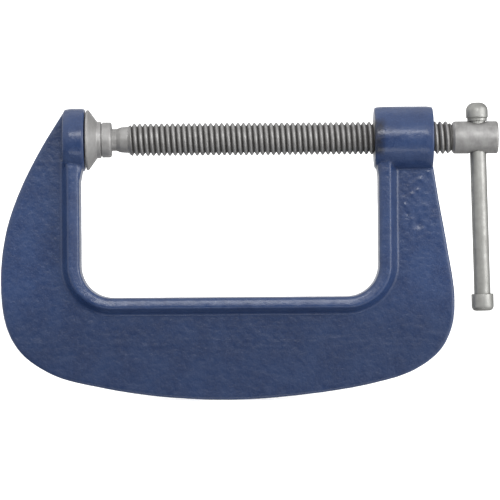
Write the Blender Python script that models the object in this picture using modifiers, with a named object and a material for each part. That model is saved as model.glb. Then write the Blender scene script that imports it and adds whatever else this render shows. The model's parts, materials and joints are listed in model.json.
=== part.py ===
"""C clamp: a cast T-section frame, a threaded spindle with a ball end, a swivel
shoe held on the ball by a collar, and a tommy bar that slides in the spindle's head.

Metres, +Z up. The origin is the centre of the throat's floor, the flat inner face of
the frame's spine, midway between the arms. +X runs along the screw from the anvil to the
tommy bar, and Y is the clamp's thickness. The clamp is closed: its shoe is at the anvil.

The shapes are drawn about the screw's axis, with x counted from the anvil's face, and
finish() then moves each piece from there into the clamp's own frame.
"""

import math

import bmesh
import bpy
from mathutils import Vector

MM = 0.001
GAP = 0.3 * MM                       # between pieces that touch on the real clamp
WELD = 0.02 * MM                     # merge distance of loose caps and thread turns

# Throat: the opening that takes the work
THROAT_LEFT = -2.05 * MM
THROAT_RIGHT = 113.45 * MM
THROAT_BOTTOM = -61.35 * MM
THROAT_CORNER = 12.5 * MM            # radius of its two lower corners
THROAT_TOP = -5.0 * MM               # height at which its walls end, inside the bosses
ARC_STEPS = 10                       # facets on a quarter turn
ORIGIN = Vector(((THROAT_LEFT + THROAT_RIGHT) / 2, 0.0, THROAT_BOTTOM))

# Frame: a thin web, with a wide flange round the throat and a boss on each arm
WEB_THICKNESS = 5.0 * MM
WEB_EDGE = 0.8 * MM                  # rounding of the web's outer edge
WEB_INSET = 3.0 * MM                 # how far the web starts behind the throat's wall
FLANGE_WIDTH = 16.5 * MM
FLANGE_FLAT = 3.5 * MM               # depth of the flange at its full width
FLANGE_DEPTH = 7.4 * MM              # depth at which its slope meets the web
FLANGE_EDGE = 1.5 * MM
BOSS_RADIUS = 12.2 * MM
ANVIL_BACK = -8.3 * MM
ANVIL_EDGES = (1.2 * MM, 0.8 * MM)   # rounding of its back and of its face
BOSS_FRONT = 112.0 * MM              # the face towards the throat
BOSS_BACK = 134.65 * MM
BOSS_EDGES = (1.6 * MM, 0.8 * MM)    # rounding of the front and of the back
ROUND_STEPS = 40                     # facets round a boss
SMALL_STEPS = 32                     # facets round the spindle and the shoe
BAR_STEPS = 24

# The web's outer edge, as the points (x, z) in mm that a smooth curve passes through:
# down the left arm, along the spine and up the right arm.
WEB_OUTLINE = (
    (-8.0, 11.5), (-17.5, -3.8), (-25.3, -19.2), (-30.8, -35.0), (-33.1, -54.0), (-31.1, -72.1),
    (-25.4, -82.5), (-12.8, -91.2), (5.1, -96.0), (28.4, -99.7), (57.0, -101.1), (86.4, -99.0),
    (109.7, -95.3), (126.3, -90.3), (136.8, -82.7), (141.7, -73.2), (142.7, -61.0), (140.3, -43.6),
    (136.9, -24.0), (134.5, -5.0),
)
OUTLINE_STEPS = 5                    # facets between two of those points

# Screw thread
PITCH = 25.4 / 12 * MM               # 12 turns to the inch
CREST_RADIUS = 6.35 * MM              # a half-inch screw
ROOT_RADIUS = 5.1 * MM
THREAD_STEPS = 12                    # facets on a turn
THREAD_START = 16.6 * MM
THREAD_END = 141.6 * MM
BORE_CLEARANCE = 0.3 * MM            # between the spindle's thread and the boss's
BORE_MOUTH = 1.0 * MM                # depth of the countersink at each end of the bore

# Ball joint between spindle and shoe
BALL_X = 7.1 * MM
BALL_RADIUS = 5.1 * MM
NECK_RADIUS = 4.28 * MM
NECK_END = 12.3 * MM
SHANK_RADIUS = 5.05 * MM             # enters the boss when the clamp is fully open
SHANK_START = 14.2 * MM
SHOE_FACE = 0.5 * MM                 # leaves the shoe room to rock against the anvil
SHOE_RIM_RADIUS = 11.65 * MM
SHOE_RIM = 0.9 * MM                  # thickness of the rim
SHOE_NOSE_X = 4.7 * MM               # where the cone ends
SHOE_NOSE_RADIUS = 7.1 * MM
SHOE_BACK = 6.2 * MM
COLLAR_FRONT = 6.6 * MM
COLLAR_BACK = 10.3 * MM
COLLAR_RADIUS = 6.85 * MM
COLLAR_EDGE = 1.1 * MM
COLLAR_LIP = 4.85 * MM               # mouth that keeps the ball in
SOCKET_STEPS = 5                     # facets from the socket's floor to its widest ring

# Spindle head and tommy bar
HEAD_START = 142.4 * MM
HEAD_END = 160.0 * MM
HEAD_RADIUS = 5.95 * MM
HEAD_EDGE = 0.9 * MM
BAR_X = 152.2 * MM                   # where the bar crosses the screw's axis
BAR_LEAN = math.radians(1.34)        # the bar leans in its hole, lower end outwards
BAR_RADIUS = 3.175 * MM
BAR_HOLE_RADIUS = 3.55 * MM
UPPER_KNOB_BOTTOM = 6.3 * MM         # all heights along the bar, from the screw's axis
UPPER_KNOB_TOP = 13.6 * MM
LOWER_KNOB_TOP = -60.7 * MM
LOWER_KNOB_BOTTOM = -67.3 * MM
KNOB_RADIUS = 4.27 * MM
KNOB_NECK_RADIUS = 3.85 * MM         # of the upper knob, next to the head
KNOB_NECK = 1.0 * MM                 # height of that neck
KNOB_SOCKET = 4.2 * MM               # how deep the bar's end sits in a knob
UPPER_DOME = 3.2 * MM                # how far a knob's round end rises from its straight side
UPPER_FLAT_RADIUS = 1.0 * MM         # of the small flat on that end
LOWER_DOME = 1.9 * MM
LOWER_FLAT_RADIUS = 2.6 * MM
DOME_STEPS = 6


def make_collections():
    """The clamp's own collection, and one for the tool shapes that cut and join it."""
    for obj in list(bpy.data.objects):
        bpy.data.objects.remove(obj, do_unlink=True)
    made = []
    for name in ("c_clamp", "cutters"):
        group = bpy.data.collections.new(name)
        bpy.context.scene.collection.children.link(group)
        made.append(group)
    return made


def make_material(name, colour, roughness, metallic):
    material = bpy.data.materials.new(name)
    material.use_nodes = True
    shader = material.node_tree.nodes["Principled BSDF"]
    shader.inputs["Base Color"].default_value = (*colour, 1.0)
    shader.inputs["Roughness"].default_value = roughness
    shader.inputs["Metallic"].default_value = metallic
    return material


def arc(centre, radius, start, end, steps):
    """Points of a circular arc, angles in degrees, both ends included."""
    points = []
    for i in range(steps + 1):
        angle = math.radians(start + (end - start) * i / steps)
        points.append((centre[0] + radius * math.cos(angle), centre[1] + radius * math.sin(angle)))
    return points


def smooth_through(points, steps):
    """A centripetal Catmull-Rom curve through the points, as a list of points."""
    knots = [Vector(p) for p in points]
    knots = [2 * knots[0] - knots[1], *knots, 2 * knots[-1] - knots[-2]]
    curve = []
    for a, b, c, d in zip(knots, knots[1:], knots[2:], knots[3:]):
        ta = 0.0
        tb = ta + math.sqrt((b - a).length)
        tc = tb + math.sqrt((c - b).length)
        td = tc + math.sqrt((d - c).length)
        for i in range(steps):
            t = tb + (tc - tb) * i / steps
            ab = a.lerp(b, (t - ta) / (tb - ta))
            bc = b.lerp(c, (t - tb) / (tc - tb))
            cd = c.lerp(d, (t - tc) / (td - tc))
            abc = ab.lerp(bc, (t - ta) / (tc - ta))
            bcd = bc.lerp(cd, (t - tb) / (td - tb))
            curve.append(tuple(abc.lerp(bcd, (t - tb) / (tc - tb))))
    curve.append(tuple(knots[-2]))
    return curve


def throat_path(offset):
    """The throat's wall from top left to top right, moved outwards by offset."""
    left = THROAT_LEFT - offset
    right = THROAT_RIGHT + offset
    radius = THROAT_CORNER + offset
    centre_z = THROAT_BOTTOM + THROAT_CORNER
    left_centre = (THROAT_LEFT + THROAT_CORNER, centre_z)
    right_centre = (THROAT_RIGHT - THROAT_CORNER, centre_z)
    return [
        (left, THROAT_TOP),
        *arc(left_centre, radius, 180, 270, ARC_STEPS),
        *arc(right_centre, radius, 270, 360, ARC_STEPS),
        (right, THROAT_TOP),
    ]


def flat_curve(name, points, closed, group):
    """A 2D curve in the XZ plane, its thickness along Y."""
    curve = bpy.data.curves.new(name, "CURVE")
    curve.dimensions = "2D"
    spline = curve.splines.new("POLY")
    spline.points.add(len(points) - 1)
    for point, (x, z) in zip(spline.points, points):
        point.co = (x, z, 0.0, 1.0)
    spline.use_cyclic_u = closed
    obj = bpy.data.objects.new(name, curve)
    obj.rotation_euler = (math.pi / 2, 0.0, 0.0)
    group.objects.link(obj)
    return obj


def plate(name, points, thickness, edge, group):
    """A flat outline with thickness, its edges cut back by edge."""
    obj = flat_curve(name, points, True, group)
    obj.data.fill_mode = "BOTH"
    obj.data.extrude = thickness / 2 - edge
    obj.data.bevel_depth = edge
    obj.data.bevel_resolution = 0
    obj.data.offset = -edge
    return as_mesh(obj, group)


def as_mesh(obj, group):
    """Replace an object by its evaluated mesh, in world space and with loose caps welded."""
    bpy.context.view_layer.update()
    evaluated = obj.evaluated_get(bpy.context.evaluated_depsgraph_get())
    mesh = bpy.data.meshes.new_from_object(evaluated)
    mesh.transform(obj.matrix_world)
    name = obj.name
    bpy.data.objects.remove(obj, do_unlink=True)
    mesh.name = name
    bm = bmesh.new()
    bm.from_mesh(mesh)
    bmesh.ops.remove_doubles(bm, verts=bm.verts, dist=WELD)
    bmesh.ops.recalc_face_normals(bm, faces=bm.faces)
    bm.to_mesh(mesh)
    bm.free()
    solid = bpy.data.objects.new(name, mesh)
    group.objects.link(solid)
    return solid


def turned(name, profile, group, steps=SMALL_STEPS, axis="X"):
    """A solid of revolution. The profile is (position on the axis, radius), high end first."""
    mesh = bpy.data.meshes.new(name)
    points = [(radius, 0.0, position) for position, radius in profile]
    mesh.from_pydata(points, [(i, i + 1) for i in range(len(points) - 1)], [])
    obj = bpy.data.objects.new(name, mesh)
    if axis == "X":
        obj.rotation_euler = (0.0, math.pi / 2, 0.0)
    group.objects.link(obj)
    screw = obj.modifiers.new("turn", "SCREW")
    screw.steps = screw.render_steps = steps
    screw.use_merge_vertices = True
    screw.merge_threshold = WELD
    return as_mesh(obj, group)


def threaded_rod(name, start, end, crest, root, group):
    """A rod along X with a right-hand V thread, on one helix wherever it starts."""
    first_turn = math.floor(start / PITCH) - 1
    turns = math.ceil(end / PITCH) - first_turn + 1
    mesh = bpy.data.meshes.new(name)
    mesh.from_pydata(
        [(root, 0.0, PITCH), (crest, 0.0, PITCH / 2), (root, 0.0, 0.0)], [(0, 1), (1, 2)], []
    )
    obj = bpy.data.objects.new(name, mesh)
    obj.rotation_euler = (0.0, math.pi / 2, 0.0)
    obj.location.x = first_turn * PITCH
    group.objects.link(obj)
    screw = obj.modifiers.new("thread", "SCREW")
    screw.steps = screw.render_steps = THREAD_STEPS
    screw.screw_offset = PITCH
    screw.iterations = turns
    rod = as_mesh(obj, group)
    trim_ends(rod.data, start, end)
    return rod


def trim_ends(mesh, start, end):
    """Cut an open sweep square at both ends and close it."""
    bm = bmesh.new()
    bm.from_mesh(mesh)
    for x, side in ((start, -1.0), (end, 1.0)):
        everything = [*bm.verts, *bm.edges, *bm.faces]
        bmesh.ops.bisect_plane(
            bm, geom=everything, plane_co=(x, 0.0, 0.0), plane_no=(side, 0.0, 0.0), clear_outer=True
        )
    rims = [edge for edge in bm.edges if edge.is_boundary]
    bmesh.ops.holes_fill(bm, edges=rims, sides=0)
    bmesh.ops.recalc_face_normals(bm, faces=bm.faces)
    bm.to_mesh(mesh)
    bm.free()


def combine(target, tool, operation, cutters):
    """Join or cut target with tool, which is kept as a hidden guide."""
    boolean = target.modifiers.new(operation.lower(), "BOOLEAN")
    boolean.operation = operation
    boolean.solver = "EXACT"
    boolean.object = tool
    for group in list(tool.users_collection):
        group.objects.unlink(tool)
    cutters.objects.link(tool)
    tool.hide_render = True
    tool.display_type = "WIRE"
    return as_mesh(target, target.users_collection[0])


def finish(obj, material, pivot=(0.0, 0.0, 0.0), parent=None):
    """Give a solid its material and smooth shading, and put it in place by its pivot."""
    centre = Vector(pivot)
    for vertex in obj.data.vertices:
        vertex.co -= centre
    if parent is None:
        obj.location = centre - ORIGIN
    else:
        obj.parent = parent
    obj.data.materials.clear()
    obj.data.materials.append(material)
    obj.data.shade_smooth()
    obj.data.set_sharp_from_angle(angle=math.radians(35))
    return obj


def flange_section():
    """Half of the flange's cross-section, as (distance behind the throat's wall, half width)."""
    half = FLANGE_WIDTH / 2
    web = WEB_THICKNESS / 2
    slope_end = FLANGE_DEPTH - 1.1 * MM
    return [
        (0.0, half - FLANGE_EDGE),
        (0.3 * FLANGE_EDGE, half - 0.3 * FLANGE_EDGE),
        (FLANGE_EDGE, half),
        (FLANGE_FLAT - 0.5 * MM, half),
        (FLANGE_FLAT + 0.3 * MM, half - 0.5 * MM),
        (slope_end - 0.6 * MM, web + 1.6 * MM),
        (slope_end, web + 0.7 * MM),
        (FLANGE_DEPTH, web - 0.2 * MM),
    ]


def make_flange(cutters):
    """The wide band round the throat: its section swept along the throat's wall."""
    half = flange_section()
    outline = half + [(depth, -width) for depth, width in reversed(half)]
    section = flat_curve("flange_section", outline, True, cutters)
    path = flat_curve("flange", throat_path(0.0), False, cutters)
    path.data.bevel_mode = "OBJECT"
    path.data.bevel_object = section
    path.data.use_fill_caps = True
    flange = as_mesh(path, cutters)
    bpy.data.objects.remove(section, do_unlink=True)
    return flange


def rounded_cylinder(name, low, high, radius, edges, group):
    """A cylinder along X with round rims, the low one first."""
    rim = arc((high - edges[1], radius - edges[1]), edges[1], 0, 90, 3)
    rim += arc((low + edges[0], radius - edges[0]), edges[0], 90, 180, 3)
    return turned(name, [(high, 0.0), *rim, (low, 0.0)], group, steps=ROUND_STEPS)


def make_gusset(name, points, cutters):
    """A block that fairs a boss into the throat's wall."""
    return plate(name, [(x * MM, z * MM) for x, z in points], FLANGE_WIDTH - 2.0 * MM, 0.6 * MM, cutters)


def make_mouth(name, face, inwards, cutters):
    """The countersink at one end of the bore. Inwards is 1 where the bore runs towards +X."""
    wide = CREST_RADIUS + BORE_CLEARANCE + 0.2 * MM
    narrow = wide - BORE_MOUTH
    outer = face - inwards * MM
    inner = face + inwards * BORE_MOUTH
    profile = [(outer, 0.0), (outer, wide), (face, wide), (inner, narrow), (inner, 0.0)]
    if inwards > 0:
        profile.reverse()
    return turned(name, profile, cutters)


def make_frame(parts, cutters):
    outer = [(x * MM, z * MM) for x, z in WEB_OUTLINE]
    outline = smooth_through(outer, OUTLINE_STEPS) + throat_path(WEB_INSET)[::-1]
    frame = plate("frame", outline, WEB_THICKNESS, WEB_EDGE, parts)
    anvil = rounded_cylinder("anvil", ANVIL_BACK, 0.0, BOSS_RADIUS, ANVIL_EDGES, cutters)
    boss = rounded_cylinder("screw_boss", BOSS_FRONT, BOSS_BACK, BOSS_RADIUS, BOSS_EDGES, cutters)
    under_anvil = make_gusset(
        "anvil_gusset", [(-1.2, -7.0), (-1.3, -12.0), (-2.2, -17.0), (-6.0, -17.0), (-6.0, -7.0)], cutters
    )
    under_boss = make_gusset(
        "boss_gusset", [(113.0, -7.0), (113.0, -12.0), (114.2, -20.0), (118.0, -20.0), (118.0, -7.0)], cutters
    )
    for tool in (make_flange(cutters), anvil, boss, under_anvil, under_boss):
        frame = combine(frame, tool, "UNION", cutters)
    bore = threaded_rod(
        "threaded_bore", BOSS_FRONT - 2 * MM, BOSS_BACK + 2 * MM,
        CREST_RADIUS + BORE_CLEARANCE, ROOT_RADIUS + BORE_CLEARANCE, cutters,
    )
    frame = combine(frame, bore, "DIFFERENCE", cutters)
    for name, face, inwards in (("front_mouth", BOSS_FRONT, 1.0), ("back_mouth", BOSS_BACK, -1.0)):
        frame = combine(frame, make_mouth(name, face, inwards, cutters), "DIFFERENCE", cutters)
    return frame


def make_spindle(parts, cutters):
    """Ball, neck and shank in one with the threaded rod and the drilled head."""
    neck_join = math.degrees(math.asin(NECK_RADIUS / BALL_RADIUS))
    ball = arc((BALL_X, 0.0), BALL_RADIUS, neck_join, 180, 2 * SOCKET_STEPS)
    ball[-1] = (BALL_X - BALL_RADIUS, 0.0)
    buried = ROOT_RADIUS - 0.3 * MM
    shank = [
        (THREAD_START + 3 * MM, 0.0), (THREAD_START + 3 * MM, buried), (THREAD_START + 0.4 * MM, buried),
        (THREAD_START + 0.4 * MM, SHANK_RADIUS), (SHANK_START, SHANK_RADIUS),
        (NECK_END + 0.9 * MM, NECK_RADIUS + 0.3 * MM), (NECK_END, NECK_RADIUS),
    ]
    spindle = turned("spindle", shank + ball, parts)
    rod = threaded_rod("thread", THREAD_START, THREAD_END, CREST_RADIUS, ROOT_RADIUS, cutters)
    depth = CREST_RADIUS - ROOT_RADIUS
    limits = turned(
        "thread_ends",
        [
            (THREAD_END + MM, 0.0), (THREAD_END + MM, ROOT_RADIUS),
            (THREAD_END - depth, CREST_RADIUS + 0.3 * MM), (THREAD_START + depth, CREST_RADIUS + 0.3 * MM),
            (THREAD_START - MM, ROOT_RADIUS), (THREAD_START - MM, 0.0),
        ],
        cutters,
    )
    rod = combine(rod, limits, "INTERSECT", cutters)
    head_rim = arc((HEAD_END - HEAD_EDGE, HEAD_RADIUS - HEAD_EDGE), HEAD_EDGE, 0, 90, 3)
    head = turned(
        "head",
        [
            (HEAD_END, 0.0), *head_rim, (HEAD_START + 0.4 * MM, HEAD_RADIUS),
            (HEAD_START, HEAD_RADIUS - 0.4 * MM), (HEAD_START, buried),
            (THREAD_END - 1.5 * MM, buried), (THREAD_END - 1.5 * MM, 0.0),
        ],
        cutters,
    )
    spindle = combine(spindle, rod, "UNION", cutters)
    spindle = combine(spindle, head, "UNION", cutters)
    reach = 2 * HEAD_RADIUS
    hole = turned(
        "bar_hole", [(reach, 0.0), (reach, BAR_HOLE_RADIUS), (-reach, BAR_HOLE_RADIUS), (-reach, 0.0)],
        cutters, steps=BAR_STEPS, axis="Z",
    )
    hole.location.x = BAR_X
    return combine(spindle, hole, "DIFFERENCE", cutters)


def socket_arc(low, high):
    """The ball's socket between two places on the axis, from low to high."""
    radius = BALL_RADIUS + GAP
    start = math.degrees(math.acos((low - BALL_X) / radius))
    end = math.degrees(math.acos((high - BALL_X) / radius))
    return arc((BALL_X, 0.0), radius, start, end, SOCKET_STEPS)


def make_shoe(parts):
    """The pad: a flat face, a rim, a cone and the front half of the socket."""
    floor = BALL_X - BALL_RADIUS - GAP
    bowl = socket_arc(floor, SHOE_BACK)
    bowl[0] = (floor, 0.0)
    outside = [
        (SHOE_BACK, SHOE_NOSE_RADIUS - 0.3 * MM), (SHOE_BACK - 0.3 * MM, SHOE_NOSE_RADIUS),
        (SHOE_NOSE_X, SHOE_NOSE_RADIUS), (SHOE_FACE + SHOE_RIM, SHOE_RIM_RADIUS),
        (SHOE_FACE + 0.2 * MM, SHOE_RIM_RADIUS), (SHOE_FACE, SHOE_RIM_RADIUS - 0.2 * MM), (SHOE_FACE, 0.0),
    ]
    return turned("shoe", bowl + outside, parts)


def make_collar(parts):
    """The ring behind the pad, closed over the back of the ball."""
    lip = BALL_X + math.sqrt((BALL_RADIUS + GAP) ** 2 - COLLAR_LIP ** 2)
    rim = arc((COLLAR_BACK - COLLAR_EDGE, COLLAR_RADIUS - COLLAR_EDGE), COLLAR_EDGE, 0, 90, 4)
    outside = [
        *rim, (COLLAR_FRONT + 0.2 * MM, COLLAR_RADIUS), (COLLAR_FRONT, COLLAR_RADIUS - 0.2 * MM)
    ]
    inside = [*socket_arc(COLLAR_FRONT, lip), (COLLAR_BACK, COLLAR_LIP)]
    return turned("shoe_collar", inside + outside + inside[:1], parts)


def make_bar(parts):
    """The plain rod of the tommy bar, along its parent's Z."""
    ends = (UPPER_KNOB_BOTTOM + KNOB_SOCKET - GAP, LOWER_KNOB_TOP - KNOB_SOCKET + GAP)
    profile = [
        (ends[0], 0.0), (ends[0], BAR_RADIUS), (ends[1], BAR_RADIUS), (ends[1], 0.0),
    ]
    return turned("tommy_bar", profile, parts, steps=BAR_STEPS, axis="Z")


def knob_dome(end, rise, flat_radius):
    """A knob's round end, from its straight side to the flat: (height, radius) pairs."""
    points = []
    for i in range(DOME_STEPS + 1):
        angle = math.radians(90 * i / DOME_STEPS)
        radius = flat_radius + (KNOB_RADIUS - flat_radius) * math.cos(angle)
        points.append((end - rise + rise * math.sin(angle), radius))
    return points


def make_knobs(parts):
    """The two end pieces: a barrel with a neck above, and a plain cap below."""
    bore = BAR_RADIUS + GAP
    neck_top = UPPER_KNOB_BOTTOM + KNOB_NECK
    upper_side = [
        (neck_top + 0.3 * MM, KNOB_RADIUS), (neck_top, KNOB_NECK_RADIUS),
        (UPPER_KNOB_BOTTOM, KNOB_NECK_RADIUS),
    ]
    upper_dome = knob_dome(UPPER_KNOB_TOP, UPPER_DOME, UPPER_FLAT_RADIUS)
    socket_top = UPPER_KNOB_BOTTOM + KNOB_SOCKET
    upper = turned(
        "upper_knob",
        [
            (UPPER_KNOB_TOP, 0.0), *upper_dome[::-1], *upper_side,
            (UPPER_KNOB_BOTTOM, bore), (socket_top, bore), (socket_top, 0.0),
        ],
        parts, steps=BAR_STEPS, axis="Z",
    )
    socket_bottom = LOWER_KNOB_TOP - KNOB_SOCKET
    lower = turned(
        "lower_knob",
        [
            (socket_bottom, 0.0), (socket_bottom, bore), (LOWER_KNOB_TOP, bore),
            (LOWER_KNOB_TOP, KNOB_RADIUS - 0.35 * MM), (LOWER_KNOB_TOP - 0.35 * MM, KNOB_RADIUS),
            *knob_dome(LOWER_KNOB_BOTTOM, -LOWER_DOME, LOWER_FLAT_RADIUS), (LOWER_KNOB_BOTTOM, 0.0),
        ],
        parts, steps=BAR_STEPS, axis="Z",
    )
    return upper, lower


def main():
    parts, cutters = make_collections()
    enamel = make_material("blue_enamel", (0.045, 0.068, 0.145), 0.35, 0.0)
    steel = make_material("spindle_steel", (0.30, 0.30, 0.29), 0.4, 0.9)
    shoe_steel = make_material("shoe_steel", (0.36, 0.35, 0.34), 0.45, 0.9)
    collar_steel = make_material("collar_steel", (0.40, 0.39, 0.38), 0.4, 0.9)
    bar_steel = make_material("bar_steel", (0.50, 0.50, 0.48), 0.3, 0.9)
    upper_steel = make_material("upper_knob_steel", (0.45, 0.45, 0.43), 0.35, 0.9)
    lower_steel = make_material("lower_knob_steel", (0.46, 0.46, 0.44), 0.35, 0.9)

    finish(make_frame(parts, cutters), enamel)
    finish(make_spindle(parts, cutters), steel)
    finish(make_shoe(parts), shoe_steel, pivot=(BALL_X, 0.0, 0.0))
    finish(make_collar(parts), collar_steel, pivot=(BALL_X, 0.0, 0.0))

    bar_axis = bpy.data.objects.new("bar_axis", None)
    bar_axis.location = Vector((BAR_X, 0.0, 0.0)) - ORIGIN
    bar_axis.rotation_euler = (0.0, -BAR_LEAN, 0.0)
    parts.objects.link(bar_axis)
    finish(make_bar(parts), bar_steel, parent=bar_axis)
    upper, lower = make_knobs(parts)
    finish(upper, upper_steel, parent=bar_axis)
    finish(lower, lower_steel, parent=bar_axis)


main()
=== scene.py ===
"""The looks of the C clamp: a cast and enamelled frame, a machined thread in its boss,
and bright steel parts turned, threaded and brushed, each riding on its CAD body.

Metres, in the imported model's own frame. The screw's axis runs along X at the height
of the hinge screw_turn, and every piece is placed from the CAD nodes' boxes.
"""

import json
import math

import bmesh
import bpy
import numpy as np
from mathutils import Matrix, Vector, noise


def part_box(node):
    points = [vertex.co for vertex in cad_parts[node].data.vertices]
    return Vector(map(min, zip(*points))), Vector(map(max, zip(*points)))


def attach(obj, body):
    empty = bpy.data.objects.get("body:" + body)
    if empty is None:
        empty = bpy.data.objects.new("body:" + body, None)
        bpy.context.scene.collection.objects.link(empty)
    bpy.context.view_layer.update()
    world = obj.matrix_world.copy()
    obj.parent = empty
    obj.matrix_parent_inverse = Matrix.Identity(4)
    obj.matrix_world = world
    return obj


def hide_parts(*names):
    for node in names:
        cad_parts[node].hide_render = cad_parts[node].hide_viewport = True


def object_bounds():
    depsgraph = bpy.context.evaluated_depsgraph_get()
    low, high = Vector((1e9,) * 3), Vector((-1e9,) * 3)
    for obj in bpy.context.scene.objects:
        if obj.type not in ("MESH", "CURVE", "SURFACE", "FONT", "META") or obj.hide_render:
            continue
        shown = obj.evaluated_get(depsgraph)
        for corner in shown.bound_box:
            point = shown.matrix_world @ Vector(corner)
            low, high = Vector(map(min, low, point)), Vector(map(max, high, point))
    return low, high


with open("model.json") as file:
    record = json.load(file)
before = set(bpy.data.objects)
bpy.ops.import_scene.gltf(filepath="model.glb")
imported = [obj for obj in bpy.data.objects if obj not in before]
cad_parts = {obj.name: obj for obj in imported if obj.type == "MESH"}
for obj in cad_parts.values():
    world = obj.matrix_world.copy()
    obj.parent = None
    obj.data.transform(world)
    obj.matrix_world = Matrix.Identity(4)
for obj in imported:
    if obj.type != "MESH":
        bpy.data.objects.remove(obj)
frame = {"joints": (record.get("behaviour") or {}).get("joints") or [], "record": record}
cad_low, cad_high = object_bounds()

MM = 0.001
BEHAVIOUR = frame["record"]["behaviour"]
JOINTS = {joint["name"]: joint for joint in frame["joints"]}

# Places that the CAD model gives
BALL = Vector(JOINTS["screw_turn"]["pos_m"])         # centre of the ball joint
BAR_AXIS = Vector(JOINTS["bar_slide"]["axis"]).normalized()
PITCH = BEHAVIOUR["couplings"][0]["ratio"] * 2 * math.pi
SPINDLE_LOW, SPINDLE_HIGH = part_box("spindle")
SHOE_LOW, SHOE_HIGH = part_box("shoe")
COLLAR_LOW, COLLAR_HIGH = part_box("shoe_collar")
BAR_LOW, BAR_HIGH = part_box("tommy_bar")
BALL_RADIUS = BALL.x - SPINDLE_LOW.x
SCREW_AXIS = Vector((1, 0, 0))
SCREW_CENTRE = Vector((0, 0, BALL.z))                # a point on the screw's axis, at x = 0

# Drawn places are counted from the anvil's face along X and from the screw's axis along Z
FACE = BALL.x - 7.1 * MM
THROAT_LEFT = -57.75 * MM - FACE
THROAT_RIGHT = 57.75 * MM - FACE
THROAT_CORNER = 12.5 * MM
ARM_TOP = -8.5 * MM                  # where web and flange end, inside the bosses
WEB_THICKNESS = 5.0 * MM
WEB_INSET = 3.0 * MM
FLANGE_WIDTH = 16.5 * MM
FLANGE_LEAN = 0.7 * MM               # how much thinner, on each side, the flange is at the throat's wall
ARM_FLANGE = 1.04                    # the flange is a little deeper on the arms than on the spine
SPINE_FLANGE = 0.92
BOSS_RADIUS = 12.2 * MM
CAST_EDGE = 1.2 * MM                 # rounding of the web's and the gussets' edges
GUSSET_WIDTH = FLANGE_WIDTH - 2.4 * MM
ANVIL = (-8.3 * MM, -0.04 * MM)      # its face a little back, so that the rocking shoe clears it
BOSS = (112.0 * MM, 134.65 * MM)
ANVIL_CROWNS = (2.6 * MM, 0.9 * MM)  # over which each end of a boss falls away, front and back
BOSS_CROWNS = (3.6 * MM, 2.4 * MM)
HOLE_RADIUS = 7.1 * MM               # of the hole in the casting that the thread's metal fills
HOLE_METAL = 7.6 * MM                # outer radius of that metal, inside the casting

# The web's outer edge, in drawn mm: down the left arm, along the spine, up the right arm
WEB_OUTLINE = (
    (-8.0, 11.5), (-17.5, -3.8), (-25.3, -19.2), (-30.8, -35.0), (-33.1, -54.0), (-31.1, -72.1),
    (-25.4, -82.5), (-12.8, -91.2), (5.1, -96.0), (28.4, -99.7), (57.0, -101.1), (86.4, -99.0),
    (109.7, -95.3), (126.3, -90.3), (136.8, -82.7), (141.7, -73.2), (142.7, -61.0), (140.3, -43.6),
    (136.9, -24.0), (134.5, -8.5),
)

# Drawn mm: the gussets that carry the flange into the anvil and into the boss
GUSSETS = (
    ((-1.0, -8.0), (-1.1, -11.5), (-2.2, -17.0), (-6.0, -17.0), (-6.0, -8.0)),
    ((113.0, -8.0), (113.0, -12.0), (114.0, -19.0), (118.0, -19.0), (118.0, -8.0)),
)

# Lumps and dents that the sand left in the web's front: drawn x and z, radius and height, in mm
LUMPS = (
    (130.1, -16.2, 0.9, 0.30), (126.6, -22.0, 0.9, 0.26), (123.9, -26.0, 0.8, 0.28),
    (133.0, -13.6, 0.8, 0.22), (128.8, -20.4, 0.7, 0.20), (131.8, -26.8, 1.0, 0.16),
    (126.4, -31.6, 0.8, 0.20), (130.6, -35.4, 0.8, 0.20), (128.5, -33.6, 1.5, -0.34),
    (124.4, -29.4, 0.9, -0.20), (-14.0, -12.0, 1.1, 0.12), (-20.5, -27.0, 1.2, -0.12),
)

# Casting
VOXEL = 0.36 * MM
SMOOTHING = 3                        # passes that round the casting's edges
EDGE_BEND = 0.035 * MM               # bend at which an outer edge counts as fully worn, and an inner one as fully in painted shade
MERGE = 0.002 * MM                   # points closer than this are one
CASTING_FACES = 190000               # triangles that the casting keeps

# Spindle, along the axis from the ball's centre
CREST_RADIUS = 6.33 * MM
ROOT_RADIUS = 5.1 * MM
BORE_CLEARANCE = 0.3 * MM
THREAD_START = 9.5 * MM
HEAD_LENGTH = 17.6 * MM
THREAD_GAP = 0.8 * MM                # from the last thread to the head
SOCKET_RADIUS = BALL_RADIUS + 0.3 * MM
SLEEVE_RADIUS = 6.25 * MM            # the shoe's sleeve, a sphere about the ball inside the collar's skirt
SLEEVE_GAP = 0.15 * MM               # between that sleeve and the skirt
SHOE_PAST_BALL = 0.9 * MM            # how far past the ball's centre the shoe's sleeve reaches
COLLAR_PAST_BALL = 1.3 * MM          # and where the collar's own part of the socket starts
SPHERE_STEPS = 6                     # along the sleeve and the skirt
THREAD_STEPS = 48
PROFILE_STEPS = 12                   # points on one pitch of the thread
ROUND = 96                           # facets round a turned piece

# How much longer tool marks are along X, Y and Z
TURNED = (1, 40, 40)
BRUSHED = (1, 1, 60)

# Soft glows round the clamp: degrees away from the camera's side, degrees round from the right
# over the top, and strength
GLOWS = (
    (45, 0, 0.75), (45, 45, 0.38), (45, 90, 0.32), (45, 135, 0.46), (45, 180, 0.46), (45, 315, 0.29),
    (90, 0, 0.60), (90, 45, 0.35), (90, 90, 0.77), (90, 135, 0.75), (90, 180, 0.69), (90, 225, 0.10),
    (90, 270, 0.37), (90, 315, 0.62), (135, 0, 0.20), (135, 90, 0.49), (135, 180, 0.50), (135, 270, 0.35),
    (180, 0, 0.70),
)
GLOW_CORE, GLOW_EDGE = 14, 46        # degrees from a glow's middle to where it fades, and to its edge

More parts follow.
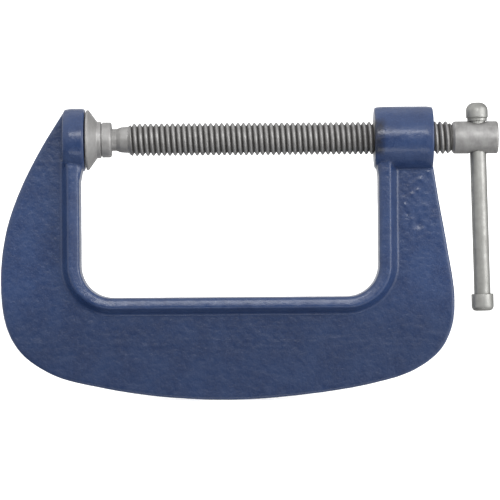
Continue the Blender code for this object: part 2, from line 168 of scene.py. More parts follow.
# Softboxes: degrees right of the camera, degrees up, size in metres, power in watts
SOFTBOXES = {
    "top_strip": (1, 22, (0.46, 0.17), 2.5),
    "low_strip": (0, -46, (0.6, 0.2), 1.1),
    "right_box": (60, 12, (0.45, 0.7), 3.8),
}
SOFTBOX_DISTANCE = 1.0

CAMERA_DISTANCE = 1.0
CAMERA_ROLL = 0.41                   # degrees
PICTURE_WIDTH = 0.194                # metres across the picture at the clamp
PICTURE_CENTRE = Vector((56.5, 0.0, -43.07)) * MM    # from the ball's centre


# ---------------------------------------------------------------- mesh helpers

def add_object(name, mesh):
    obj = bpy.data.objects.new(name, mesh)
    bpy.context.scene.collection.objects.link(obj)
    return obj


def applied(obj):
    """The object with its modifiers worked into a mesh of its own."""
    graph = bpy.context.evaluated_depsgraph_get()
    mesh = bpy.data.meshes.new_from_object(obj.evaluated_get(graph))
    obj.modifiers.clear()
    obj.data = mesh
    return obj


def shade(obj, angle=40):
    obj.data.shade_smooth()
    obj.data.set_sharp_from_angle(angle=math.radians(angle))
    return obj


def rounded(corners, steps=5):
    """A profile of (place on the axis, radius) with its corners rounded.

    A corner is (place, radius) or (place, radius, rounding)."""
    points = [Vector(corner[:2]) for corner in corners]
    made = []
    for i, corner in enumerate(corners):
        rounding = corner[2] if len(corner) > 2 else 0.0
        if not rounding or i in (0, len(corners) - 1):
            made.append(tuple(points[i]))
            continue
        back = points[i - 1] - points[i]
        ahead = points[i + 1] - points[i]
        half = back.angle(ahead) / 2
        reach = min(rounding / math.tan(half), 0.48 * back.length, 0.48 * ahead.length)
        start = points[i] + back.normalized() * reach
        end = points[i] + ahead.normalized() * reach
        for step in range(steps + 1):
            t = step / steps
            made.append(tuple(start.lerp(points[i], t).lerp(points[i].lerp(end, t), t)))
    return made


def arc(centre, radius, start, end, steps):
    """Profile points on a circle, angles in degrees from the axis."""
    angles = [math.radians(start + (end - start) * i / steps) for i in range(steps + 1)]
    return [(centre + radius * math.cos(a), radius * math.sin(a)) for a in angles]


def turned(name, profile, origin, axis, around=ROUND):
    """A turned solid: its profile, from one end to the other, spun about an axis."""
    bm = bmesh.new()
    corners = [bm.verts.new((radius, 0.0, place)) for place, radius in profile]
    edges = [bm.edges.new(pair) for pair in zip(corners, corners[1:])]
    bmesh.ops.spin(
        bm, geom=[*corners, *edges], cent=(0, 0, 0), axis=(0, 0, 1), dvec=(0, 0, 0),
        angle=2 * math.pi, steps=around, use_merge=True, use_duplicate=False,
    )
    bmesh.ops.remove_doubles(bm, verts=bm.verts, dist=MERGE)
    bmesh.ops.recalc_face_normals(bm, faces=bm.faces)
    place = Vector((0, 0, 1)).rotation_difference(axis).to_matrix().to_4x4()
    bm.transform(Matrix.Translation(origin) @ place)
    mesh = bpy.data.meshes.new(name)
    bm.to_mesh(mesh)
    bm.free()
    return add_object(name, mesh)


def combine(target, tool, operation):
    boolean = target.modifiers.new(operation, "BOOLEAN")
    boolean.operation = operation
    boolean.solver = "EXACT"
    boolean.object = tool
    applied(target)
    bpy.data.objects.remove(tool, do_unlink=True)
    return target


def thread_height(phase):
    """Height of a thread over one pitch, 0 in its narrow root to 1 on its broad crest."""
    ramp = min((1 - abs(2 * phase - 1)) / 0.76, 1.0)
    return 0.6 * ramp + 0.4 * ramp * ramp * (3 - 2 * ramp)


def threaded_rod(name, start, end, grow, run_out):
    """A right-hand threaded rod on the screw's axis, in step with the CAD helix.

    At its ends the thread runs out into a plain rod of the root's radius."""
    origin = FACE                                   # a root of the helix, straight below the axis
    first = math.floor((start - origin) / PITCH) - 2
    turns = math.ceil((end - origin) / PITCH) - first + 2
    step = np.arange(turns * THREAD_STEPS + 1)[:, None]
    phase = (np.arange(PROFILE_STEPS) / PROFILE_STEPS)[None, :]
    x = origin + (first + step / THREAD_STEPS + phase) * PITCH
    height = np.array([thread_height(p) for p in phase[0]])[None, :]
    radius = ROOT_RADIUS + grow + (CREST_RADIUS - ROOT_RADIUS) * height
    if run_out:
        room = np.minimum(x - start, end - x) / run_out
        tallest = ROOT_RADIUS + grow + (CREST_RADIUS - ROOT_RADIUS) * np.clip(room, 0, 1)
        radius = np.minimum(radius, tallest)
    angle = 2 * math.pi * step / THREAD_STEPS + 0 * phase
    points = np.stack(
        [x + 0 * radius, radius * np.sin(angle), BALL.z - radius * np.cos(angle)], axis=-1
    ).reshape(-1, 3)
    faces = []
    for k in range(turns * THREAD_STEPS):
        for p in range(PROFILE_STEPS):
            here = k * PROFILE_STEPS + p
            if p < PROFILE_STEPS - 1:
                above = here + 1
            else:
                above = (k + THREAD_STEPS) * PROFILE_STEPS
                if above + PROFILE_STEPS >= len(points):
                    continue
            faces.append((here, here + PROFILE_STEPS, above + PROFILE_STEPS, above))
    mesh = bpy.data.meshes.new(name)
    mesh.from_pydata(points.tolist(), [], faces)
    bm = bmesh.new()
    bm.from_mesh(mesh)
    for plane, side in ((start, -1.0), (end, 1.0)):
        everything = [*bm.verts, *bm.edges, *bm.faces]
        bmesh.ops.bisect_plane(
            bm, geom=everything, plane_co=(plane, 0, 0), plane_no=(side, 0, 0), clear_outer=True
        )
    bmesh.ops.holes_fill(bm, edges=[edge for edge in bm.edges if edge.is_boundary], sides=0)
    bmesh.ops.recalc_face_normals(bm, faces=bm.faces)
    bm.to_mesh(mesh)
    bm.free()
    return add_object(name, mesh)


def coordinates(mesh):
    values = np.empty(len(mesh.vertices) * 3, np.float32)
    mesh.vertices.foreach_get("co", values)
    return values.reshape(-1, 3).astype(float)


def set_coordinates(mesh, points):
    mesh.vertices.foreach_set("co", points.astype(np.float32).ravel())
    mesh.update()


def vertex_normals(mesh):
    values = np.empty(len(mesh.vertices) * 3, np.float32)
    mesh.vertex_normals.foreach_get("vector", values)
    return values.reshape(-1, 3).astype(float)


def edge_ends(mesh):
    values = np.empty(len(mesh.edges) * 2, np.int32)
    mesh.edges.foreach_get("vertices", values)
    return values.reshape(-1, 2).T


def neighbour_mean(values, ends, count):
    """The mean of each vertex's neighbours' values."""
    a, b = ends
    total = np.bincount(a, values[b], count) + np.bincount(b, values[a], count)
    return total / np.maximum(np.bincount(a, minlength=count) + np.bincount(b, minlength=count), 1)


def write_attribute(mesh, name, values):
    layer = mesh.attributes.new(name, "FLOAT", "POINT")
    layer.data.foreach_set("value", values.astype(np.float32))


def write_edges(mesh, reach):
    """Attributes for wear on outer edges and for painted shade in inner ones, from the surface's bend."""
    points, normals, ends = coordinates(mesh), vertex_normals(mesh), edge_ends(mesh)
    count = len(points)
    mean = np.stack([neighbour_mean(points[:, i], ends, count) for i in range(3)], axis=1)
    bend = np.einsum("ij,ij->i", points - mean, normals)
    for _ in range(3):
        bend = 0.5 * bend + 0.5 * neighbour_mean(bend, ends, count)
    write_attribute(mesh, "worn", np.clip(bend / reach, 0, 1))
    # painted shade in the inner edges and creases
    write_attribute(mesh, "crease_shade", np.clip(-bend / reach, 0, 1))


def smoothstep(low, high, values):
    t = np.clip((values - low) / (high - low), 0, 1)
    return t * t * (3 - 2 * t)


# ---------------------------------------------------------------- the pieces

def noise_field(points, sizes, seed):
    """Smooth noise from -1 to 1, its features of the given size along each axis."""
    places = points / np.array(sizes) + np.array((3.17, 1.31, 7.73)) * seed
    return np.array([noise.noise(place) for place in places.tolist()])


def smooth_through(points, steps):
    """A centripetal Catmull-Rom curve through the points, as a list of points."""
    knots = [Vector(p) for p in points]
    knots = [2 * knots[0] - knots[1], *knots, 2 * knots[-1] - knots[-2]]
    curve = []
    for a, b, c, d in zip(knots, knots[1:], knots[2:], knots[3:]):
        ta = 0.0
        tb = ta + math.sqrt((b - a).length)
        tc = tb + math.sqrt((c - b).length)
        td = tc + math.sqrt((d - c).length)
        for i in range(steps):
            t = tb + (tc - tb) * i / steps
            ab = a.lerp(b, (t - ta) / (tb - ta))
            bc = b.lerp(c, (t - tb) / (tc - tb))
            cd = c.lerp(d, (t - tc) / (td - tc))
            abc = ab.lerp(bc, (t - ta) / (tc - ta))
            bcd = bc.lerp(cd, (t - tb) / (td - tb))
            curve.append(abc.lerp(bcd, (t - tb) / (tc - tb)))
    curve.append(knots[-2])
    return curve


def throat_path(steps=32):
    """The throat's wall from top left to top right: (place, direction into the metal) pairs."""
    centre_z = THROAT_CORNER - BALL.z
    path = [(Vector((THROAT_LEFT, ARM_TOP)), Vector((-1, 0)))]
    for centre_x, start in ((THROAT_LEFT + THROAT_CORNER, 180), (THROAT_RIGHT - THROAT_CORNER, 270)):
        for i in range(steps + 1):
            angle = math.radians(start + 90 * i / steps)
            outwards = Vector((math.cos(angle), math.sin(angle)))
            path.append((Vector((centre_x, centre_z)) + THROAT_CORNER * outwards, outwards))
    path.append((Vector((THROAT_RIGHT, ARM_TOP)), Vector((1, 0))))
    return path


def plate(name, outline, thickness, edge):
    """A flat drawn outline with thickness and rounded edges."""
    curve = bpy.data.curves.new(name, "CURVE")
    curve.dimensions = "2D"
    spline = curve.splines.new("POLY")
    spline.points.add(len(outline) - 1)
    for point, (x, z) in zip(spline.points, outline):
        point.co = (x, z, 0.0, 1.0)
    spline.use_cyclic_u = True
    curve.fill_mode = "BOTH"
    curve.extrude = thickness / 2 - edge
    curve.bevel_depth = edge
    curve.bevel_resolution = 3
    curve.offset = -edge
    drawn = add_object(name, curve)
    graph = bpy.context.evaluated_depsgraph_get()
    mesh = bpy.data.meshes.new_from_object(drawn.evaluated_get(graph))
    bpy.data.objects.remove(drawn, do_unlink=True)
    mesh.transform(Matrix.Rotation(math.pi / 2, 4, "X"))
    return mesh


def flange():
    """The wide band round the throat: a T's head with a steep back, filleted into the web."""
    half, web = FLANGE_WIDTH / 2, WEB_THICKNESS / 2
    side = rounded([
        (0.0, 0.0),
        (0.0, half - FLANGE_LEAN, 1.6 * MM),
        (4.35 * MM, half, 1.4 * MM),
        (6.8 * MM, web, 2.2 * MM),
        (9.2 * MM, web - 0.1 * MM),
        (9.2 * MM, 0.0),
    ], steps=8)
    section = side + [(depth, -width) for depth, width in reversed(side[1:-1])]
    bm = bmesh.new()
    rings = []
    for place, outwards in throat_path():
        scale = ARM_FLANGE + (SPINE_FLANGE - ARM_FLANGE) * outwards.y ** 2
        ring = []
        for depth, width in section:
            x, z = place + outwards * depth * scale
            ring.append(bm.verts.new((x, width, z)))
        rings.append(ring)
    for here, ahead in zip(rings, rings[1:]):
        for i in range(len(section)):
            j = (i + 1) % len(section)
            bm.faces.new((here[i], here[j], ahead[j], ahead[i]))
    bm.faces.new(rings[0])
    bm.faces.new(rings[-1][::-1])
    bmesh.ops.recalc_face_normals(bm, faces=bm.faces)
    mesh = bpy.data.meshes.new("flange")
    bm.to_mesh(mesh)
    bm.free()
    return mesh


def boss(name, span, crowns, hole):
    """A round boss on the screw's axis, solid or bored, each end falling away over its crown's length."""
    low, high = span
    front, back = crowns
    outside = rounded([
        (low, hole),
        (low, BOSS_RADIUS - 0.7 * MM, 0.3 * MM),
        (low + 0.5 * MM, BOSS_RADIUS - 0.3 * MM, 0.5 * MM),
        (low + front, BOSS_RADIUS, 4.0 * MM),
        (high - back, BOSS_RADIUS, 4.0 * MM),
        (high - 0.3 * MM, BOSS_RADIUS - 0.22 * MM, 0.4 * MM),
        (high, BOSS_RADIUS - 0.5 * MM, 0.2 * MM),
        (high, hole),
    ], steps=8)
    if hole:
        outside.append(outside[0])
    solid = turned(name, outside, Vector(), SCREW_AXIS, around=160)
    mesh = solid.data
    bpy.data.objects.remove(solid, do_unlink=True)
    return mesh


def cast_skin():
    """One skin over web, flange, bosses and gussets, with rounded edges."""
    throat = [place + outwards * WEB_INSET for place, outwards in throat_path()]
    outline = [point * MM for point in smooth_through(WEB_OUTLINE, 10)] + throat[::-1]
    solids = [
        plate("web", outline, WEB_THICKNESS, CAST_EDGE),
        flange(),
        boss("anvil", ANVIL, ANVIL_CROWNS, 0.0),
        boss("screw_boss", BOSS, BOSS_CROWNS, HOLE_RADIUS),
    ]
    for points in GUSSETS:
        solids.append(plate("gusset", [Vector(p) * MM for p in points], GUSSET_WIDTH, CAST_EDGE))
    bm = bmesh.new()
    for solid in solids:
        bm.from_mesh(solid)
        bpy.data.meshes.remove(solid)
    bmesh.ops.remove_doubles(bm, verts=bm.verts, dist=MERGE)
    bm.transform(Matrix.Translation((FACE, 0, BALL.z)))
    mesh = bpy.data.meshes.new("cast_frame")
    bm.to_mesh(mesh)
    bm.free()
    casting = add_object("cast_frame", mesh)
    remesh = casting.modifiers.new("skin", "REMESH")
    remesh.mode = "VOXEL"
    remesh.voxel_size = VOXEL
    smooth = casting.modifiers.new("rounding", "SMOOTH")
    smooth.factor = 0.5
    smooth.iterations = SMOOTHING
    return applied(casting)


def sand_marks(mesh):
    """The sand's waves, lumps and dents in the casting's skin, and attributes for its worn edges and for
    painted shade in its creases, low down on its web and round the screw's entry into the boss.
    """
    write_edges(mesh, EDGE_BEND)
    points, normals = coordinates(mesh), vertex_normals(mesh)
    x, y, z = (points - np.array((FACE, 0, BALL.z))).T / MM
    boss_front = BOSS[0] / MM
    # painted shade round the screw where it enters the boss's front
    mouth_shade = smoothstep(-4.6, -2.2, boss_front - x) * smoothstep(-8.0, -5.0, -np.abs(z))
    write_attribute(mesh, "mouth_shade", mouth_shade * (x > boss_front - 1))
    on_web = smoothstep(0.8, 0.95, np.abs(normals[:, 1])) * smoothstep(-3.6, -2.9, -np.abs(y))
    # painted shade: the web's front darker the lower it is
    write_attribute(mesh, "low_shade", on_web * smoothstep(52, 80, -z))
    rough_arm = on_web * smoothstep(116, 122, x) * smoothstep(-46, -34, z)
    spine = on_web * smoothstep(-84, -74, -np.abs(z + 78) - 74)
    waves = 0.05 * noise_field(points, (11 * MM,) * 3, 1) + 0.04 * noise_field(points, (2.2 * MM,) * 3, 2)
    waves += 0.07 * rough_arm * noise_field(points, (1.7 * MM,) * 3, 3)
    waves += 0.05 * spine * noise_field(points, (18 * MM, 5 * MM, 1.3 * MM), 4)
    for lump_x, lump_z, radius, height in LUMPS:
        near = np.exp(-((x - lump_x) ** 2 + (z - lump_z) ** 2) / radius ** 2)
        waves += height * near * (y < 0)
    end_face = (np.abs(normals[:, 0]) > 0.7) & (np.hypot(y, z) < BOSS_RADIUS / MM)
    waves = np.where(end_face, -0.4 * np.abs(waves), waves)
    set_coordinates(mesh, points + normals * waves[:, None] * MM)
    low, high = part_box("frame")
    set_coordinates(mesh, np.clip(coordinates(mesh), np.array(low), np.array(high)))


def make_casting():
    """The frame as cast, thinned to the triangles it may keep."""
    casting = cast_skin()
    mesh = casting.data
    sand_marks(mesh)
    triangles = sum(len(face.vertices) - 2 for face in mesh.polygons)
    if triangles > CASTING_FACES:
        thinner = casting.modifiers.new("thinner", "DECIMATE")
        thinner.ratio = CASTING_FACES / triangles
        applied(casting)
    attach(casting, "frame")
    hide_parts("frame")
    return shade(casting, 180)


def make_boss_thread():
    """The machined thread in the boss, with a countersink at both ends."""
    flush = 0.06 * MM
    front, back = FACE + BOSS[0], FACE + BOSS[1]
    sleeve = turned(
        "boss_thread",
        [(front + flush, 0.0), (front + flush, HOLE_METAL), (back - flush, HOLE_METAL), (back - flush, 0.0)],
        SCREW_CENTRE, SCREW_AXIS,
    )
    rod = threaded_rod("cutter", front - 3 * MM, back + 3 * MM, BORE_CLEARANCE, 0.0)
    combine(sleeve, rod, "DIFFERENCE")
    wide, narrow = 7.05 * MM, 5.6 * MM
    depth = 1.2 * MM
    for face, inwards in ((front, 1), (back, -1)):
        cone = turned(
            "mouth",
            [(face - inwards * MM, 0.0), (face - inwards * MM, wide), (face, wide),
             (face + inwards * depth, narrow), (face + inwards * depth, 0.0)],
            SCREW_CENTRE, SCREW_AXIS,
        )
        combine(sleeve, cone, "DIFFERENCE")
    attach(sleeve, "frame")
    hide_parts("frame")
    return shade(sleeve, 50)


def make_spindle():
    """Ball, neck, thread and drilled head, all in one."""
    thread_start = BALL.x + THREAD_START
    head_end = SPINDLE_HIGH.x
    head_start = head_end - HEAD_LENGTH
    thread_end = head_start - THREAD_GAP
    neck, shank = 4.28 * MM, 5.1 * MM
    buried = ROOT_RADIUS - 0.25 * MM
    join = 180 - math.degrees(math.asin(neck / BALL_RADIUS))
    ball = [(2 * BALL.x - place, radius) for place, radius in arc(BALL.x, BALL_RADIUS, 0, join, 24)]
    ball[0] = (ball[0][0], 0.0)
    shank_profile = rounded([
        (BALL.x + 4.0 * MM, neck),
        (FACE + 12.2 * MM, neck, 1.5 * MM),
        (FACE + 13.8 * MM, 4.92 * MM, 1.5 * MM),
        (FACE + 16.0 * MM, shank, 1.0 * MM),
        (thread_start + 0.5 * MM, shank, 0.2 * MM),
        (thread_start + 0.75 * MM, buried),
        (thread_start + 3 * MM, buried),
        (thread_start + 3 * MM, 0.0),
    ])
    spindle = turned("spindle_screw", ball + shank_profile, SCREW_CENTRE, SCREW_AXIS)
    rod = threaded_rod("rod", thread_start, thread_end + 0.4 * MM, 0.0, 1.6 * MM)
    combine(spindle, rod, "UNION")
    radius = (SPINDLE_HIGH.z - SPINDLE_LOW.z) / 2 - 0.05 * MM
    head = turned(
        "head",
        rounded([
            (thread_end - 2 * MM, 0.0), (thread_end - 2 * MM, buried), (head_start, buried),
            (head_start, radius - 0.55 * MM, 0.1 * MM), (head_start + 0.8 * MM, radius, 0.25 * MM),
            (head_end, radius, 0.9 * MM), (head_end, 0.0),
        ]),
        SCREW_CENTRE, SCREW_AXIS,
    )
    combine(spindle, head, "UNION")
    reach = 2 * radius
    bar_centre = (BAR_LOW + BAR_HIGH) / 2
    cross = bar_centre + BAR_AXIS * ((BALL.z - bar_centre.z) / BAR_AXIS.z)
    hole_radius = 3.55 * MM
    hole = turned(
        "hole", [(-reach, 0.0), (-reach, hole_radius), (reach, hole_radius), (reach, 0.0)],
        cross, Vector((0, 0, 1)), around=64,
    )
    combine(spindle, hole, "DIFFERENCE")
    points = coordinates(spindle.data)
    depth = CREST_RADIUS - np.hypot(points[:, 1], points[:, 2] - BALL.z)
    in_thread = smoothstep(thread_start, thread_start + MM, points[:, 0])
    in_thread *= smoothstep(-head_start - 0.3 * MM, -head_start + 0.3 * MM, -points[:, 0])
    depth = np.clip(depth / (CREST_RADIUS - ROOT_RADIUS), 0, 1)
    # how deep each point sits in the thread, for painted shade in its roots
    write_attribute(spindle.data, "root_shade", in_thread * depth)
    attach(spindle, "spindle")
    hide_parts("spindle")
    return shade(spindle, 35)


def make_shoe():
    """The pad: flat face, rim and cone, with the front half of the socket."""
    face, back = SHOE_LOW.x, SHOE_HIGH.x
    rim = (SHOE_HIGH.z - SHOE_LOW.z) / 2
    nose = back - 1.5 * MM
    nose_radius = 7.1 * MM
    sleeve_end = BALL.x + SHOE_PAST_BALL
    bowl_end = math.degrees(math.acos(SHOE_PAST_BALL / SOCKET_RADIUS))
    bowl = arc(BALL.x, SOCKET_RADIUS, 180, bowl_end, 16)
    bowl[0] = (bowl[0][0], 0.0)
    sleeve = []
    for i in range(SPHERE_STEPS + 1):
        place = sleeve_end - (sleeve_end - back) * i / SPHERE_STEPS
        sleeve.append((place, math.sqrt(SLEEVE_RADIUS ** 2 - (place - BALL.x) ** 2)))
    outside = rounded([
        sleeve[-1], (back, nose_radius, 0.35 * MM), (nose, nose_radius, 0.4 * MM),
        (face + 0.9 * MM, rim, 0.25 * MM), (face, rim, 0.3 * MM), (face, 0.0),
    ])
    profile = bowl + sleeve + outside[1:]
    shoe = turned("swivel_shoe", profile, SCREW_CENTRE, SCREW_AXIS)
    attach(shoe, "shoe")
    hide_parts("shoe")
    return shade(shoe)


def make_collar():
    """The ring rolled over the back of the ball."""
    front, back = COLLAR_LOW.x, COLLAR_HIGH.x
    radius = (COLLAR_HIGH.z - COLLAR_LOW.z) / 2
    lip = 4.85 * MM
    step = BALL.x + COLLAR_PAST_BALL
    skirt_radius = SLEEVE_RADIUS + SLEEVE_GAP
    skirt = []
    for i in range(SPHERE_STEPS + 1):
        place = front + (step - front) * i / SPHERE_STEPS
        skirt.append((place, math.sqrt(skirt_radius ** 2 - (place - BALL.x) ** 2)))
    start = math.degrees(math.acos(COLLAR_PAST_BALL / SOCKET_RADIUS))
    end = math.degrees(math.asin(lip / SOCKET_RADIUS))
    inside = skirt + arc(BALL.x, SOCKET_RADIUS, start, end, 10)
    outside = rounded([
        inside[-1], (back, lip, 0.3 * MM), (back, radius, 1.1 * MM), (front, radius, 0.3 * MM), inside[0]
    ])
    collar = turned("ball_collar", inside + outside[1:], SCREW_CENTRE, SCREW_AXIS)
    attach(collar, "collar")
    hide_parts("shoe_collar")
    return shade(collar)


def bar_places(node):
    """A node's lowest and highest place along the bar's axis, and its radius."""
    low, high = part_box(node)
    across = (high.y - low.y) / 2
    tilt = across * math.sqrt(1 - BAR_AXIS.z ** 2)
    return (low.z + tilt) / BAR_AXIS.z, (high.z - tilt) / BAR_AXIS.z, across


def bar_origin():
    """The point on the bar's axis at height 0, from which places along it are counted."""
    middle = (BAR_LOW + BAR_HIGH) / 2
    return middle - BAR_AXIS * (middle.z / BAR_AXIS.z)


def knob_dome(end, rise, flat_radius, radius):
    """A knob's round end, from its straight side to the flat at its end."""
    steps = 12
    dome = []
    for i in range(steps + 1):
        angle = math.radians(90 * i / steps)
        place = end - rise + rise * math.sin(angle)
        dome.append((place, flat_radius + (radius - flat_radius) * math.cos(angle)))
    return dome


def make_bar():
    """The tommy bar's plain rod, ground lengthwise, with a knob on each end."""
    low, high, radius = bar_places("tommy_bar")
    pieces = [turned(
        "tommy_rod",
        rounded([(low, 0.0), (low, radius, 0.3 * MM), (high, radius, 0.3 * MM), (high, 0.0)]),
        bar_origin(), BAR_AXIS, around=64,
    )]
    bore = radius + 0.1 * MM
    deep = 4.2 * MM
    low, high, radius = bar_places("upper_knob")
    neck, neck_top = 3.85 * MM, low + 1.0 * MM
    dome = knob_dome(high, 3.2 * MM, 1.0 * MM, radius)
    pieces.append(turned(
        "upper_ball",
        rounded([
            (low + deep, 0.0), (low + deep, bore), (low, bore, 0.1 * MM), (low, neck, 0.15 * MM),
            (neck_top, neck, 0.3 * MM), (neck_top + 0.4 * MM, radius, 0.4 * MM), dome[0],
        ]) + dome[1:] + [(high, 0.0)],
        bar_origin(), BAR_AXIS, around=64,
    ))
    low, high, radius = bar_places("lower_knob")
    dome = knob_dome(low, -1.9 * MM, 2.6 * MM, radius)
    pieces.append(turned(
        "lower_cap",
        rounded([
            (high - deep, 0.0), (high - deep, bore), (high, bore, 0.15 * MM),
            (high, radius, 0.35 * MM), dome[0],
        ]) + dome[1:] + [(low, 0.0)],
        bar_origin(), BAR_AXIS, around=64,
    ))
    for piece, node in zip(pieces, ("tommy_bar", "upper_knob", "lower_knob")):
        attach(piece, "bar")
        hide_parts(node)
        shade(piece)
    return pieces


# ---------------------------------------------------------------- materials

class Shader:
    """A Principled material, with short ways to add the nodes that drive it."""

    def __init__(self, name, **constants):
        self.material = bpy.data.materials.new(name)
        self.material.use_nodes = True
        self.tree = self.material.node_tree
        self.surface = self.tree.nodes["Principled BSDF"]
        for socket, value in constants.items():
            self.surface.inputs[self.socket(socket)].default_value = value
        self.place = self.add("ShaderNodeTexCoord").outputs["Object"]

    @staticmethod
    def socket(name):
        """A Principled socket's name, from the keyword that stands for it."""
        return name.replace("_", " ").title()

    def add(self, kind, **settings):
        node = self.tree.nodes.new(kind)
        for name, value in settings.items():
            setattr(node, name, value)
        return node

    def plug(self, node, values):
        for socket, value in values.items():
            if isinstance(value, bpy.types.NodeSocket):
                self.tree.links.new(value, node.inputs[socket])
            else:
                node.inputs[socket].default_value = value

    def noise(self, size, detail, stretch=(1, 1, 1)):
        """Noise with features of the given size in metres, longer along an axis by stretch."""
        mapping = self.add("ShaderNodeMapping")
        self.plug(mapping, {"Vector": self.place, "Scale": [1 / (size * s) for s in stretch]})
        texture = self.add("ShaderNodeTexNoise")
        self.plug(texture, {
            "Vector": mapping.outputs[0], "Scale": 1.0, "Detail": detail, "Roughness": 0.5,
        })
        return texture.outputs["Fac"]

    def between(self, value, low, high, to_low=0.0, to_high=1.0):
        """value brought from the range low to high into to_low to to_high, and held there."""
        node = self.add("ShaderNodeMapRange")
        self.plug(node, {
            "Value": value, "From Min": low, "From Max": high, "To Min": to_low, "To Max": to_high,
        })
        return node.outputs[0]

    def math(self, operation, a, b):
        node = self.add("ShaderNodeMath", operation=operation)
        self.plug(node, {0: a, 1: b})
        return node.outputs[0]

    def mix(self, factor, a, b):
        """Colour a to colour b."""
        node = self.add("ShaderNodeMix", data_type="RGBA")
        self.plug(node, {0: factor, 6: self.colour(a), 7: self.colour(b)})
        return node.outputs[2]

    @staticmethod
    def colour(value):
        return value if isinstance(value, bpy.types.NodeSocket) else (*value, 1.0)

    def attribute(self, name):
        return self.add("ShaderNodeAttribute", attribute_name=name).outputs["Fac"]

    def bump(self, height, distance, under=None):
        node = self.add("ShaderNodeBump")
        self.plug(node, {"Height": height, "Distance": distance, "Strength": 1.0})
        if under is not None:
            self.plug(node, {"Normal": under})
        return node.outputs[0]

    def drive(self, **sockets):
        self.plug(self.surface, {self.socket(name): value for name, value in sockets.items()})


def enamel():
    """Blue enamel over cast iron: mottled and thin on the edges, with painted shade in its creases, low down
    on the web and round the screw's entry into the boss.
    """
    paint = Shader("blue_enamel", coat_weight=0.2, coat_roughness=0.12)
    blotch = paint.noise(9 * MM, detail=3.0)
    speck = paint.noise(0.7 * MM, detail=2.0)
    peel = paint.noise(0.9 * MM, detail=1.0)
    grain = paint.noise(2.6 * MM, detail=3.0)
    colour = paint.mix(
        paint.between(blotch, 0.35, 0.65), (0.013, 0.033, 0.106), (0.0195, 0.046, 0.134)
    )
    colour = paint.mix(paint.between(speck, 0.50, 0.70, 0.0, 0.55), colour, (0.033, 0.063, 0.162))
    worn = paint.math("MULTIPLY", paint.attribute("worn"), paint.between(grain, 0.35, 0.6))
    colour = paint.mix(paint.math("MULTIPLY", worn, 0.4), colour, (0.06, 0.09, 0.17))
    # painted shade: darker in the creases and low down on the web
    painted_shade = paint.math("MAXIMUM", paint.attribute("crease_shade"), paint.attribute("low_shade"))
    colour = paint.mix(paint.math("MULTIPLY", painted_shade, 0.42), colour, (0.007, 0.014, 0.04))
    # painted shade round the screw's entry into the boss, its darkness broken by the grain
    mouth_shade = paint.math("MULTIPLY", paint.attribute("mouth_shade"), paint.between(grain, 0.25, 0.6, 0.55, 0.9))
    colour = paint.mix(mouth_shade, colour, (0.006, 0.009, 0.022))
    height = paint.bump(grain, 0.22 * MM)
    height = paint.bump(peel, 0.05 * MM, under=height)
    paint.drive(
        base_color=colour, roughness=paint.between(grain, 0.3, 0.7, 0.30, 0.42), normal=height
    )
    return paint.material


def steel(name, light, dark, roughness, marks, size, root_shade=False):
    """Bare steel: tool marks along a direction, faint stains, a broken shine and painted shade in the thread
    roots.
    """
    metal = Shader(name, metallic=1.0)
    lines = metal.noise(size, detail=3.0, stretch=marks)
    stain = metal.noise(3.2 * MM, detail=4.0)
    colour = metal.mix(metal.between(stain, 0.35, 0.7), light, dark)
    colour = metal.mix(metal.between(lines, 0.3, 0.7, 0.0, 0.25), colour, dark)
    if root_shade:
        # painted shade in the thread's roots
        depth = metal.attribute("root_shade")
        colour = metal.mix(metal.between(depth, 0.35, 1.0, 0.0, 0.72), colour, (0.085, 0.08, 0.075))
    scratched = metal.between(lines, 0.3, 0.7, 0.0, 0.12)
    stained = metal.between(stain, 0.3, 0.7, roughness, roughness + 0.1)
    rough = metal.math("ADD", scratched, stained)
    metal.drive(base_color=colour, roughness=rough, normal=metal.bump(lines, 0.006 * MM))
    return metal.material


def dress(obj, material):
    obj.data.materials.clear()
    obj.data.materials.append(material)


# ---------------------------------------------------------------- studio

def look_at(obj, target):
    obj.rotation_euler = (target - obj.location).to_track_quat("-Z", "Y").to_euler()


def softbox(name, azimuth, elevation, size, power, target):
    """An area light seen from the clamp at an azimuth right of the camera and a height, in degrees."""
    light = bpy.data.lights.new(name, "AREA")
    light.shape = "RECTANGLE"
    light.size, light.size_y = size
    light.energy = power
    lamp = bpy.data.objects.new(name, light)
    bpy.context.scene.collection.objects.link(lamp)
    a, e = math.radians(azimuth), math.radians(elevation)
    away = Vector((math.sin(a) * math.cos(e), -math.cos(a) * math.cos(e), math.sin(e)))
    lamp.location = target + SOFTBOX_DISTANCE * away
    look_at(lamp, target)


def make_camera():
    """Square on to the web, level, with the photograph's slight roll."""
    target = BALL + PICTURE_CENTRE
    data = bpy.data.cameras.new("camera")
    data.sensor_width = 36.0
    data.lens = data.sensor_width * CAMERA_DISTANCE / PICTURE_WIDTH
    camera = bpy.data.objects.new("camera", data)
    bpy.context.scene.collection.objects.link(camera)
    camera.location = target - Vector((0, CAMERA_DISTANCE, 0))
    camera.rotation_euler = (math.radians(90), math.radians(CAMERA_ROLL), 0.0)
    bpy.context.scene.camera = camera
    return target


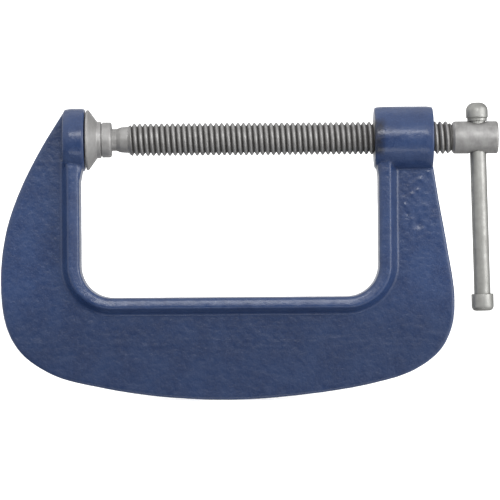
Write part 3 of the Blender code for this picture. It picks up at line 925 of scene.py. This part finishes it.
def make_world():
    """A white backdrop, and round the clamp a studio of soft glows that only the clamp sees."""
    world = bpy.data.worlds.new("studio")
    bpy.context.scene.world = world
    world.use_nodes = True
    tree = world.node_tree
    background = tree.nodes["Background"]
    background.inputs["Strength"].default_value = 1.0
    direction = tree.nodes.new("ShaderNodeTexCoord").outputs["Generated"]
    brightness = tree.nodes.new("ShaderNodeLightPath").outputs["Is Camera Ray"]
    for tilt, turn, strength in GLOWS:
        tilt, turn = math.radians(tilt), math.radians(turn)
        along = tree.nodes.new("ShaderNodeVectorMath")
        along.operation = "DOT_PRODUCT"
        tree.links.new(direction, along.inputs[0])
        along.inputs[1].default_value = (
            math.sin(tilt) * math.cos(turn), -math.cos(tilt), math.sin(tilt) * math.sin(turn)
        )
        glow = tree.nodes.new("ShaderNodeMapRange")
        glow.interpolation_type = "SMOOTHSTEP"
        tree.links.new(along.outputs["Value"], glow.inputs["Value"])
        glow.inputs["From Min"].default_value = math.cos(math.radians(GLOW_EDGE))
        glow.inputs["From Max"].default_value = math.cos(math.radians(GLOW_CORE))
        glow.inputs["To Max"].default_value = strength
        total = tree.nodes.new("ShaderNodeMath")
        tree.links.new(brightness, total.inputs[0])
        tree.links.new(glow.outputs[0], total.inputs[1])
        brightness = total.outputs[0]
    tree.links.new(brightness, background.inputs["Color"])


def make_floor():
    """A pale floor under the clamp, as bright as the backdrop."""
    bm = bmesh.new()
    bmesh.ops.create_grid(bm, x_segments=8, y_segments=8, size=3.0)
    mesh = bpy.data.meshes.new("floor")
    bm.to_mesh(mesh)
    bm.free()
    floor = add_object("floor", mesh)
    floor.location = (0, 0, cad_low.z)
    floor.visible_glossy = False
    floor.visible_diffuse = False
    floor.visible_shadow = False
    pale = Shader("pale_floor", base_color=(0.85, 0.85, 0.85, 1.0), roughness=0.7)
    pale.surface.inputs["Emission Color"].default_value = (1, 1, 1, 1)
    pale.surface.inputs["Emission Strength"].default_value = 0.55
    mesh.materials.append(pale.material)


def make_studio():
    bpy.context.scene.view_settings.view_transform = "Standard"
    target = make_camera()
    make_world()
    make_floor()
    for name, (azimuth, elevation, size, power) in SOFTBOXES.items():
        softbox(name, azimuth, elevation, size, power, target)


def main():
    dress(make_casting(), enamel())
    screw_look = ((0.435, 0.43, 0.425), (0.315, 0.31, 0.305), 0.48, TURNED, 0.12 * MM)
    dress(make_spindle(), steel("turned_steel", *screw_look, root_shade=True))
    dress(make_boss_thread(), steel("cut_thread", *screw_look))
    shoe_look = steel("shoe_steel", (0.445, 0.44, 0.435), (0.365, 0.36, 0.355), 0.46, TURNED, 0.15 * MM)
    dress(make_shoe(), shoe_look)
    dress(make_collar(), shoe_look)
    bar_look = steel("brushed_bar", (0.385, 0.385, 0.37), (0.31, 0.31, 0.295), 0.40, BRUSHED, 0.12 * MM)
    for piece in make_bar():
        dress(piece, bar_look)
    make_studio()


main()
